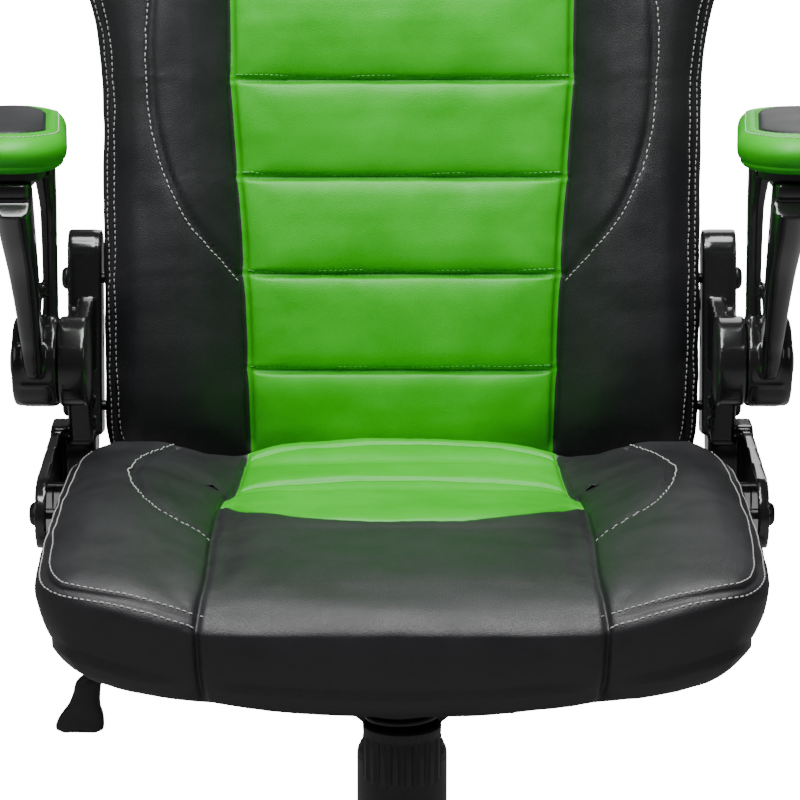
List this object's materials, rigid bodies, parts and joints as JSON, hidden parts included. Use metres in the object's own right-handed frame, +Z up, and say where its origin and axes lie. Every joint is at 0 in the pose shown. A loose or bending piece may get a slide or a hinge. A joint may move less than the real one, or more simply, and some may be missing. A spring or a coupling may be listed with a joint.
{
  "type": "gaming chair",
  "caption": "Racing-style office chair with padded bucket seat and back, flip-up armrests on side brackets, tilt mechanism, gas lift and a five-star base on casters.",
  "frame": {"origin": "on the floor under the middle of the chair's bounding box", "axes": "+Z up, the sitter faces -Y, +X to the sitter's left"},
  "size_m": [0.6716, 0.6808, 1.162],
  "materials": {
    "black_leather": "soft pebbled faux leather with white stitching",
    "green_leather": "bright green faux leather, horizontal channels on the seat and back",
    "gloss_black": "gloss",
    "matte_black": "fine matte",
    "nylon_black": "satin moulded nylon",
    "tread": "hard tread, dull",
    "black_paint": "satin powder coat",
    "black_steel": "blackened",
    "bright_steel": "polished",
    "plywood": "raw plywood"
  },
  "bodies": {
    "base": {"star_base": "nylon_black", "column_tube": "black_steel", "piston_rod": "bright_steel", "cover_bottom": "nylon_black"},
    "cover_slider": {"cover_middle": "nylon_black"},
    "lift": {"gas_cylinder": "bright_steel", "cover_top": "nylon_black"},
    "valve": {"valve_button": "black_steel"},
    "swivel": {"mechanism_housing": "black_paint", "tilt_pin": "bright_steel", "tension_bolt": "bright_steel", "tension_spring": "black_paint"},
    "knob": {"tension_knob": "matte_black"},
    "lever_trunnion": {"lever_bush": "matte_black"},
    "lever": {"lever_rod": "black_steel", "lever_handle": "matte_black"},
    "seat": {"seat_plate": "black_paint", "seat_board": "plywood", "seat_cushion": "black_leather", "back_board": "nylon_black", "back_cushion": "black_leather", "side_bracket_right": "gloss_black", "pivot_bolt_right": "black_steel", "side_bracket_left": "gloss_black", "pivot_bolt_left": "black_steel", "back_bolt_right_1": "black_steel", "back_bolt_right_2": "black_steel", "seat_bolt_right_1": "black_steel", "seat_bolt_right_2": "black_steel", "back_bolt_left_1": "black_steel", "back_bolt_left_2": "black_steel", "seat_bolt_left_1": "black_steel", "seat_bolt_left_2": "black_steel"},
    "armrest_right": {"arm_right": "gloss_black", "arm_pad_right": "green_leather", "pad_plate_right": "matte_black"},
    "armrest_left": {"arm_left": "gloss_black", "arm_pad_left": "green_leather", "pad_plate_left": "matte_black"},
    "caster_1_swivel": {"caster_1_stem": "black_steel", "caster_1_hood": "nylon_black"},
    "caster_1_wheel": {"caster_1_wheels": "tread", "caster_1_axle": "black_steel"},
    "caster_2_swivel": {"caster_2_stem": "black_steel", "caster_2_hood": "nylon_black"},
    "caster_2_wheel": {"caster_2_wheels": "tread", "caster_2_axle": "black_steel"},
    "caster_3_swivel": {"caster_3_stem": "black_steel", "caster_3_hood": "nylon_black"},
    "caster_3_wheel": {"caster_3_wheels": "tread", "caster_3_axle": "black_steel"},
    "caster_4_swivel": {"caster_4_stem": "black_steel", "caster_4_hood": "nylon_black"},
    "caster_4_wheel": {"caster_4_wheels": "tread", "caster_4_axle": "black_steel"},
    "caster_5_swivel": {"caster_5_stem": "black_steel", "caster_5_hood": "nylon_black"},
    "caster_5_wheel": {"caster_5_wheels": "tread", "caster_5_axle": "black_steel"}
  },
  "joints": [
    {"name": "gas_lift", "type": "slide", "parent": "base", "child": "lift", "axis": [0, 0, 1], "range_m": [0, 0.09]},
    {"name": "cover_slide", "type": "slide", "parent": "base", "child": "cover_slider", "axis": [0, 0, 1], "range_m": [0, 0.045]},
    {"name": "seat_swivel", "type": "hinge", "parent": "lift", "child": "swivel", "pos_m": [0, -0.00952, 0.3], "axis": [0, 0, 1], "continuous": true},
    {"name": "tilt", "type": "hinge", "parent": "swivel", "child": "seat", "pos_m": [0, -0.05952, 0.347], "axis": [-1, 0, 0], "range_deg": [0, 12], "stiffness_Nm_per_rad": 200, "springref_deg": -20.05},
    {"name": "knob_turn", "type": "hinge", "parent": "swivel", "child": "knob", "pos_m": [0, -0.12952, 0.31], "axis": [0, 0, 1], "continuous": true},
    {"name": "lever_lift", "type": "hinge", "parent": "swivel", "child": "lever_trunnion", "pos_m": [-0.045, -0.00952, 0.342], "axis": [0, 1, 0], "range_deg": [0, 5], "stiffness_Nm_per_rad": 6, "springref_deg": -9.74},
    {"name": "lever_pull", "type": "slide", "parent": "lever_trunnion", "child": "lever", "axis": [-1, 0, 0], "range_m": [0, 0.012]},
    {"name": "valve_press", "type": "slide", "parent": "lift", "child": "valve", "axis": [0, 0, -1], "range_m": [0, 0.004]},
    {"name": "armrest_flip_right", "type": "hinge", "parent": "seat", "child": "armrest_right", "pos_m": [-0.2585, 0.11048, 0.536], "axis": [-1, 0, 0], "range_deg": [0, 90]},
    {"name": "armrest_flip_left", "type": "hinge", "parent": "seat", "child": "armrest_left", "pos_m": [0.2585, 0.11048, 0.536], "axis": [-1, 0, 0], "range_deg": [0, 90]},
    {"name": "caster_1_swivel_turn", "type": "hinge", "parent": "base", "child": "caster_1_swivel", "pos_m": [0, -0.29452, 0.07], "axis": [0, 0, 1], "continuous": true},
    {"name": "caster_1_roll", "type": "hinge", "parent": "caster_1_swivel", "child": "caster_1_wheel", "pos_m": [0, -0.31252, 0.02452], "axis": [1, 0, 0], "continuous": true},
    {"name": "caster_2_swivel_turn", "type": "hinge", "parent": "base", "child": "caster_2_swivel", "pos_m": [0.27105, -0.09759, 0.07], "axis": [0, 0, 1], "continuous": true},
    {"name": "caster_2_roll", "type": "hinge", "parent": "caster_2_swivel", "child": "caster_2_wheel", "pos_m": [0.28817, -0.10315, 0.02452], "axis": [0.309, 0.9511, 0], "continuous": true},
    {"name": "caster_3_swivel_turn", "type": "hinge", "parent": "base", "child": "caster_3_swivel", "pos_m": [0.16752, 0.22105, 0.07], "axis": [0, 0, 1], "continuous": true},
    {"name": "caster_3_roll", "type": "hinge", "parent": "caster_3_swivel", "child": "caster_3_wheel", "pos_m": [0.1781, 0.23561, 0.02452], "axis": [-0.809, 0.5878, 0], "continuous": true},
    {"name": "caster_4_swivel_turn", "type": "hinge", "parent": "base", "child": "caster_4_swivel", "pos_m": [-0.16752, 0.22105, 0.07], "axis": [0, 0, 1], "continuous": true},
    {"name": "caster_4_roll", "type": "hinge", "parent": "caster_4_swivel", "child": "caster_4_wheel", "pos_m": [-0.1781, 0.23561, 0.02452], "axis": [-0.809, -0.5878, 0], "continuous": true},
    {"name": "caster_5_swivel_turn", "type": "hinge", "parent": "base", "child": "caster_5_swivel", "pos_m": [-0.27105, -0.09759, 0.07], "axis": [0, 0, 1], "continuous": true},
    {"name": "caster_5_roll", "type": "hinge", "parent": "caster_5_swivel", "child": "caster_5_wheel", "pos_m": [-0.28817, -0.10315, 0.02452], "axis": [0.309, -0.9511, 0], "continuous": true}
  ],
  "couplings": [
    {"joint": "cover_slide", "follows": "gas_lift", "ratio": 0.5},
    {"joint": "valve_press", "follows": "lever_lift", "m_per_rad": 0.0458}
  ]
}
